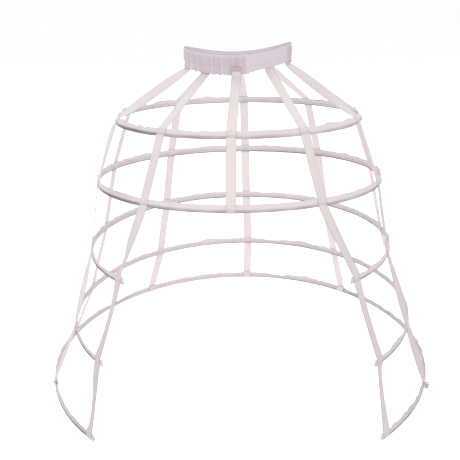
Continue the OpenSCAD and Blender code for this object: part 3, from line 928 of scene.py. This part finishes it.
def facePart(s, y, share, seam):
    # One column of the band's gathered face, at a height over the stitch line
    height = y / band["height"]
    below = 1 - float(ramp(y, band["hemFrom"], band["hem"]))
    belly = math.sin(math.pi * min(1, band["bellyUp"] * height)) ** band["bellyRound"]
    swell = 1 - band["belly"] + band["belly"] * belly
    swell = band["hemGather"] + (1 - band["hemGather"]) * below * swell
    tuck = float(ramp(y, 0, band["tuckTo"]))
    ridge = folds(s, height)
    puff = band["gather"] * ridge * share * swell
    dent = band["hemDent"] * bell(y, band["hem"], band["dentHalf"]) + seam * band["seamDeep"] * tuck * below
    out = band["low"] + (band["outer"] - band["low"]) * tuck + puff - dent
    # painted shade in the gathers' valleys and in the seam's crease
    wearAndShade = band["valleyShade"] * valley(ridge, share) * below + band["seamShade"] * seam * below * tuck
    return out, wearAndShade + band["hemWear"] * float(bell(y, band["hem"], band["hemWearHalf"]))


def frillDrop(angle, s, share):
    short = smoothed(angle, band["shortFrom"], band["shortTo"], band["shortEdge"])
    tufts = sum(long * (1 - np.abs((s - at) / band["tuftHalf"])).clip(0, 1) for at, long in band["tufts"])
    return band["frill"] * (1 - band["short"] * short) + uneven(s, "edge") * share + tufts


def bandPath(angle, s):
    # The cloth's middle line up the band's inside, over its top, down its outside and to the frill
    share = gathered(angle)
    seam = bell(s, band["seamAt"], band["seamWide"])
    flat, top = np.ones_like(s), band["height"]
    columns = [(band["cloth"] / 2 * flat, y * flat) for y in band["inner"]]
    wearAndShade = [0 * flat for _ in columns]
    for out, drop in band["top"]:
        columns.append((out + band["topGather"] * band["gather"] * folds(s, 1) * share, (top - drop) * flat))
        # darker over the top fold
        wearAndShade.append(band["topDarker"] * flat)
    for y in band["face"]:
        out, darkening = facePart(s, y, share, seam)
        columns.append((out, y * flat))
        wearAndShade.append(darkening)
    ridge = folds(s, 0)
    columns.append((band["low"] + band["stitchGather"] * band["gather"] * ridge * share, 0 * flat))
    # painted shade in the valleys at the stitch line
    wearAndShade.append(band["stitchValleyShade"] * valley(ridge, share))
    drop = frillDrop(angle, s, share)
    for part in band["frillParts"]:
        ridge = folds(s, -band["frillFork"] * part)
        wave = (band["frillWave"] * (ridge + uneven(s, "curl")) * share).clip(0, band["frillMost"])
        near = band["frillNear"]
        columns.append((band["low"] + (near + (1 - near) * part) * wave, -part * drop))
        # painted shade in the frill's valleys, and wear on its edge
        wearAndShade.append(band["frillValleyShade"] * valley(ridge, share) + band["frillEdgeWear"] * (part == 1))
    path = np.stack([np.stack(np.broadcast_arrays(*c), -1) for c in columns], 1)
    return path, np.stack(wearAndShade, 1)


def makeBand():
    angle, s = waist.evenAngles(band["step"])
    path, wearAndShade = bandPath(angle, s)
    section = clothRing(path, band["cloth"] * band["thin"])
    rings = waist.point(angle[:, None], section[..., 0], section[..., 1])
    width = pathLength(path[0])
    piece = stripMesh("waistband_cloth", strip(rings, s, width, wearAndShade, closed=True))
    dress(piece, bandCotton, "band_cloth", "waistband")
    face = len(band["inner"]) + len(band["top"])
    lift = band["cloth"] / 2
    rows = []
    for column in (face + band["hemAt"], face + len(band["face"]) - 1):  # under the hem, and above the frill
        some = path[::band["sewEvery"], column]
        line = waist.point(angle[::band["sewEvery"]], some[:, 0] + lift, some[:, 1])
        rows.append(np.concatenate((line, line[:1])))
    sew("waistband_stitches", "gather", rows)


makeBand()
print("waistband made")


# Tapes

class Station:
    # One line across a tape: its middle, its directions, its bow round a hoop, its own curl, and
    # its tint and painted shade from the hoop under it
    def __init__(self, centre, across, normal, bow, curl=0.0, shade=0.0):
        self.centre, self.across, self.normal, self.bow = centre, across, normal, bow
        self.curl, self.shade = curl, shade

    def moved(self, way):
        return Station(self.centre + way, self.across, self.normal, self.bow)


class Seat:
    # Where a tape lies on a hoop
    def __init__(self, hoop, angle):
        self.hoop = hoop
        self.outward, self.across = hoop.out(angle), hoop.along(angle)
        self.rod = hoop.centre + hoop.radius * self.outward
        self.bow = self.outward / (2 * hoop.radius)

    def face(self, turn):
        return self.outward * math.cos(turn) + self.hoop.up * math.sin(turn)

    def round(self, turn):
        centre = self.rod + tape["seat"] * self.face(turn)
        return Station(centre, self.across, self.face(turn), self.bow, shade=tape["rodShade"])

    def flap(self, rise, away=tape["seat"], side=1):
        face, lean = self.face(self.hoop.lean), self.hoop.lean
        up = self.hoop.up * math.cos(lean) - self.outward * math.sin(lean)
        centre = self.rod + away * face + rise * up
        return Station(centre, self.across, side * face, self.bow, shade=tape["flapShade"])


# How a tape hangs from one hoop to the next, from the waist down: its turn in degrees and curl in
# radians, the share of the span at which they are greatest, and how far it stands out in metres
straight = (0, 0, 0.5, 0)
tapeHang = {
    "front_left_tape": [
        (0, 0.1, 0.5, 0), (0, 0.2, 0.5, 0), (34, 0.6, 0.85, 0), (14, 0.8, 0.45, 0), (22, 0.9, 0.68, 0)],
    "front_right_tape": [
        (0, 0.1, 0.5, 0), (0, 0.15, 0.5, 0), (-4, 0.2, 0.5, 0), (-6, 0.4, 0.5, 0), (-20, 0.8, 0.25, 0)],
    "side_front_left_tape": [
        (-54, 0.2, 0.5, 0), (-15, 0.4, 0.18, 0.005), (6, 0.3, 0.5, 0), (-26, 0.1, 0.55, 0),
        (-6, 0.2, 0.5, 0)],
    "side_front_right_tape": [
        (50, 0.2, 0.5, 0), (6, 0.2, 0.5, 0), (3, 0.3, 0.5, 0), (30, 0.3, 0.62, 0.003), (26, 0.3, 0.5, 0.003)],
}


def span(first, last, turn, curl, at, stand):
    # Stations of the free tape between two seats
    way = last.centre - first.centre
    tangent = unit(way)
    count = max(2, int(np.linalg.norm(way) / tape["step"]))
    skew = math.log(0.5) / math.log(at)
    made = []
    for t in np.arange(1, count) / count:
        hump = math.sin(math.pi * t ** skew)
        across = first.across * (1 - t) + last.across * t
        across = unit(across - tangent * (across @ tangent))
        normal = np.cross(tangent, across)
        normal = normal if normal @ (first.normal + last.normal) > 0 else -normal
        angle = math.radians(turn) * hump ** tape["ease"]
        turned = across * math.cos(angle) + normal * math.sin(angle)
        facing = normal * math.cos(angle) - across * math.sin(angle)
        bow = (first.bow * (1 - t) + last.bow * t) * (1 - hump) ** 2
        centre = first.centre + t * way + stand * hump * normal
        made.append(Station(centre, turned, facing, bow, curl * hump))
    return made


def tapeTop(name):
    # Stations where a tape is sewn to the waistband; the front centre one lies over the band
    points = nodePoints(name)
    head = points[points[:, 2] > points[:, 2].max() - tape["head"]].mean(0)
    angle = math.atan2(head[0] / waist.a, -head[1] / waist.b)
    along, outward = waist.along(angle), waist.out(np.array(angle))
    speed = math.hypot(waist.a * math.cos(angle), waist.b * math.sin(angle))
    bow = outward * waist.a * waist.b / speed ** 3 / 2
    top = tape["outside" if name == "front_centre_tape" else "inside"]
    made = []
    for up in top["heights"]:
        turn = math.radians(tape["bend"]) * (up == top["heights"][-1])
        normal = outward * math.cos(turn) + np.array((0, 0, math.sin(turn)))
        made.append(Station(waist.point(angle, top["out"], up), along, normal, bow))
    return made


def tapePath(name, seats):
    stations = tapeTop(name)
    hang = tapeHang.get(name, [straight] * len(seats))
    for k, seat in enumerate(seats):
        lean = seat.hoop.lean
        top = seat.flap(seat.hoop.flap)
        stations += span(stations[-1], top, *hang[k]) + [top, seat.flap(seat.hoop.flap / 2)]
        if k + 1 < len(seats):
            way = seats[k + 1].rod - seat.rod
            leave = min(lean, math.atan2(way @ seat.outward, -(way @ seat.hoop.up)))
            stations += [seat.round(lean + share * (leave - lean)) for share in tape["over"]]
            stations.append(stations[-1].moved(tape["clear"] * unit(way)))
        else:  # the end goes under the hoop and up behind the flap
            stations += [seat.round(lean - math.radians(turn)) for turn in tape["under"]]
            inner = casing["channelOut"] - 2 * casing["cloth"] - tape["backGap"] - tape["thick"] / 2
            stations.append(seat.flap(tape["beside"], -tape["seat"], -1))
            stations += [seat.flap(rise, inner, -1) for rise in tape["behind"]]
    return stations


def tapeRings(stations, columns, half):
    x = columns * tape["width"] / 2
    rings = []
    for st in stations:
        turn = st.curl * columns
        reach = tape["width"] / 2 / st.curl if abs(st.curl) > tape["flat"] else 0
        across = np.sin(turn) * reach if reach else x
        lift = (np.cos(turn) - 1) * reach
        middle = st.centre + across[:, None] * st.across + lift[:, None] * st.normal
        middle = middle - (x * x)[:, None] * st.bow
        facing = np.cos(turn)[:, None] * st.normal + np.sin(turn)[:, None] * st.across
        edge = half[:, None] * facing
        rings.append(np.concatenate((middle + edge, (middle - edge)[::-1])))
    return np.array(rings)


def makeTape(name):
    # Returns the rows of stitches that hold the tape
    seats = [Seat(hoops[number], angle) for number, angle in sorted(crossings[name].items())]
    stations = tapePath(name, seats)
    columns = np.array(tape["columns"])
    rim = np.abs(columns) > tape["rim"]
    rings = tapeRings(stations, columns, tape["thick"] / 2 * np.where(rim, tape["selvedge"], 1))
    length = pathLength(np.array([st.centre for st in stations]))
    across = (columns + 1) * tape["width"] / 2
    soilAndShade = np.interp(length / length[-1], tape["soilAndShadeSpan"], tape["soilAndShade"].get(name, (0, 0)))
    shade = np.array([st.shade for st in stations])
    # edge wear, soil and painted shade, and the tint and painted shade of the hoop under the tape
    wearAndShade = tape["edgeWear"] * rim * (1 + tape["edgeSoilAndShade"] * soilAndShade[:, None]) + np.maximum(soilAndShade, shade)[:, None]
    piece = stripMesh(f"{name}_cloth", strip(rings, length, across, wearAndShade))
    dress(piece, twillTape, "tape", name)
    q = np.linspace(-1, 1, tape["tackPoints"])[:, None] * tape["tackShare"] * tape["width"] / 2
    rows = []
    for seat in seats:
        for rise in (tape["tackUp"], seat.hoop.flap - tape["tackDown"]):
            st = seat.flap(rise, tape["seat"] + tape["thick"] / 2 + tape["tackOut"])
            rows.append(st.centre + q * st.across - q * q * st.bow)
    return rows


tacks = [row for name in tapeNames for row in makeTape(name)]
sew("tape_stitches", "tack", tacks)

tab = {
    "top": 0.0036, "low": -0.0067, "share": 0.86, "thick": 0.0007, "out": 0.0071,
    "columns": 7, "rows": 5, "wearAndShade": 0.2, "wornFrom": 0.8,
}


def makeTab():
    # The patch sewn over the top of the front centre tape
    columns = np.linspace(-1, 1, tab["columns"]) * tab["share"]
    heights = np.linspace(tab["top"], tab["low"], tab["rows"])
    along, outward = waist.along(0), waist.out(np.array(0.0))
    bow = outward / waist.a ** 2 * waist.b / 2
    stations = [Station(waist.point(0, tab["out"], up), along, outward, bow) for up in heights]
    rings = tapeRings(stations, columns, np.full(len(columns), tab["thick"] / 2))
    across = (columns + 1) * tape["width"] / 2
    wearAndShade = tab["wearAndShade"] * (np.abs(columns) > tab["wornFrom"])
    piece = stripMesh("front_tab", strip(rings, tab["top"] - heights, across, wearAndShade))
    dress(piece, shadedTabCotton, "band_cloth")
    inset = rings[1:-1, 1:len(columns) - 1] + outward * tape["tackOut"]
    square = np.concatenate((inset[0], inset[1:, -1], inset[-1, ::-1][1:], inset[::-1, 0][1:]))
    sew("front_tab_stitches", "tack", [square])


makeTab()

# Knots where the side front tapes end on the bottom hoop
knots = [
    {"name": "right_knot", "tape": "side_front_right_tape", "size": 0.009, "thick": 0.0036, "spin": 0.3},
    {"name": "left_knot", "tape": "side_front_left_tape", "size": 0.003, "thick": 0.0019, "spin": 1.1},
]
knotForm = {
    "hoop": 5, "wearAndShade": 0.5,
    "bedded": 1 / 3,  # thicknesses of the strand from the tape to its middle
    "points": 60, "reach": 3, "deep": 1.3,  # a trefoil reaches 3 from its middle before it is scaled
    "tails": ((0.8, 0), (-1.0, 30)),  # rise of each tail, and the point of the trefoil where it starts
    "tailPoints": 7, "tailLong": 1.3, "tailOut": 0.7, "tailAcross": 0.3, "tailSag": 0.4,
    "tailThick": (0.9, 0.35),  # shares of the strand's thickness where a tail starts and ends
}


def makeKnot(knot):
    form, scale = knotForm, knot["size"] / knotForm["reach"]
    seat = Seat(hoops[form["hoop"]], crossings[knot["tape"]][form["hoop"]])
    t = np.linspace(0, 2 * math.pi, form["points"] + 1)[:-1]
    x, y = np.sin(t) + 2 * np.sin(2 * t), np.cos(t) - 2 * np.cos(2 * t)
    c, s = math.cos(knot["spin"]), math.sin(knot["spin"])
    line = np.stack((c * x - s * y, s * x + c * y, -form["deep"] * np.sin(3 * t)), -1) * scale
    out = tape["seat"] + tape["thick"] / 2 + form["deep"] * scale + form["bedded"] * knot["thick"]
    points = seat.rod + out * seat.outward + line @ np.stack((seat.across, seat.hoop.up, seat.outward))
    tail = np.linspace(0, 1, form["tailPoints"])[:, None]
    thin = knot["thick"] * np.linspace(*form["tailThick"], form["tailPoints"])
    strips = [tube(points, knot["thick"], form["wearAndShade"], closed=True)]
    for rise, start in form["tails"]:
        aim = seat.outward * form["tailOut"] + seat.hoop.up * rise + seat.across * form["tailAcross"]
        sag = form["tailSag"] * tail ** 2 * seat.hoop.up
        line = points[start] + knot["size"] * form["tailLong"] * (tail * aim - sag)
        strips.append(tube(line, thin, form["wearAndShade"]))
    dress(stripMesh(knot["name"], *strips), twillTape, "tape")


for knot in knots:
    makeKnot(knot)
print("tapes made")


# Stage, light and camera

stage = {
    "floorDrop": 0.3, "floorSize": 30,  # the cage hangs above the floor
    "ambient": 0.78, "bounce": 0.95,  # light on the cage
    "glow": 0.62, "paper": 0.8,  # the floor as it is seen
}
lamps = [  # azimuth from the front towards +X, elevation and softness, all in degrees
    {"name": "key", "azimuth": -20, "elevation": 28, "strength": 0.45, "softness": 25,
     "colour": (1, 0.99, 0.98)},
    {"name": "fill", "azimuth": 35, "elevation": 4, "strength": 0.15, "softness": 45,
     "colour": (0.98, 0.98, 1)},
    {"name": "back", "azimuth": 172, "elevation": 55, "strength": 0.8, "softness": 40, "colour": (1, 1, 1)},
]
lens = {
    "focal": 66.6, "sensor": 36, "distance": 2.305, "height": 0.178,
    "yaw": 3.0, "pitch": 16.0, "roll": 0.8,
    "shift": -10.0 / 460,  # 10 pixels of the picture's width
}


def seenDirectly(graph):
    path = graph.add("ShaderNodeLightPath")
    return path.out("Is Camera Ray") + path.out("Is Glossy Ray") + path.out("Is Transmission Ray")


def grey(value):
    return (value, value, value, 1)


def makeFloor():
    half = stage["floorSize"] / 2
    z = cadBox[0][2] - stage["floorDrop"]
    mesh = bpy.data.meshes.new("floor")
    corners = [(-half, -half, z), (half, -half, z), (half, half, z), (-half, half, z)]
    mesh.from_pydata(corners, [], [(0, 1, 2, 3)])
    floor = addObject("floor", mesh)
    material, graph, _ = newMaterial("floor_paper")
    bounce = graph.add("ShaderNodeBsdfDiffuse", inputs={"Color": grey(stage["bounce"])})
    white = graph.add("ShaderNodeEmission", inputs={"Color": grey(1), "Strength": stage["glow"]})
    paper = graph.add("ShaderNodeBsdfDiffuse", inputs={"Color": grey(stage["paper"])})
    seen = graph.add("ShaderNodeAddShader", inputs={0: white, 1: paper})
    mixed = graph.add("ShaderNodeMixShader", inputs={0: seenDirectly(graph), 1: bounce, 2: seen})
    graph.feed(material.node_tree.nodes["Material Output"].inputs["Surface"], mixed)
    mesh.materials.append(material)


def makeWorld():
    world = bpy.data.worlds.new("studio")
    world.use_nodes = True
    world.node_tree.nodes.clear()
    sky = Graph(world.node_tree)
    soft = sky.add("ShaderNodeBackground", inputs={"Color": grey(1), "Strength": stage["ambient"]})
    bright = sky.add("ShaderNodeBackground", inputs={"Color": grey(1), "Strength": 1.0})
    both = sky.add("ShaderNodeMixShader", inputs={0: seenDirectly(sky), 1: soft, 2: bright})
    sky.add("ShaderNodeOutputWorld", inputs={"Surface": both})
    bpy.context.scene.world = world


def makeLamps():
    for lamp in lamps:
        data = bpy.data.lights.new(lamp["name"], "SUN")
        data.energy = lamp["strength"]
        data.angle = math.radians(lamp["softness"])
        data.color = lamp["colour"]
        light = addObject(lamp["name"], data)
        around, up = math.radians(lamp["azimuth"]), math.radians(lamp["elevation"])
        source = Vector((math.sin(around) * math.cos(up), -math.cos(around) * math.cos(up), math.sin(up)))
        light.rotation_euler = (-source).to_track_quat("-Z", "Y").to_euler()


def makeCamera():
    yaw, pitch, roll = (math.radians(lens[k]) for k in ("yaw", "pitch", "roll"))
    side, up = Vector((math.cos(yaw), math.sin(yaw), 0)), Vector((0, 0, 1))
    ahead = up.cross(side)
    look = ahead * math.cos(pitch) - up * math.sin(pitch)
    crown = ahead * math.sin(pitch) + up * math.cos(pitch)
    right = side * math.cos(roll) - crown * math.sin(roll)
    top = side * math.sin(roll) + crown * math.cos(roll)
    data = bpy.data.cameras.new("camera")
    data.lens = lens["focal"]
    data.sensor_width = lens["sensor"]
    data.shift_x = lens["shift"]
    camera = addObject("camera", data)
    turn = Matrix((right, top, -look)).transposed().to_4x4()
    camera.matrix_world = Matrix.Translation(up * lens["height"] - ahead * lens["distance"]) @ turn
    bpy.context.scene.camera = camera


makeFloor()
makeWorld()
makeLamps()
makeCamera()
bpy.context.scene.view_settings.view_transform = "Standard"
bpy.context.view_layer.update()
print("stage made")
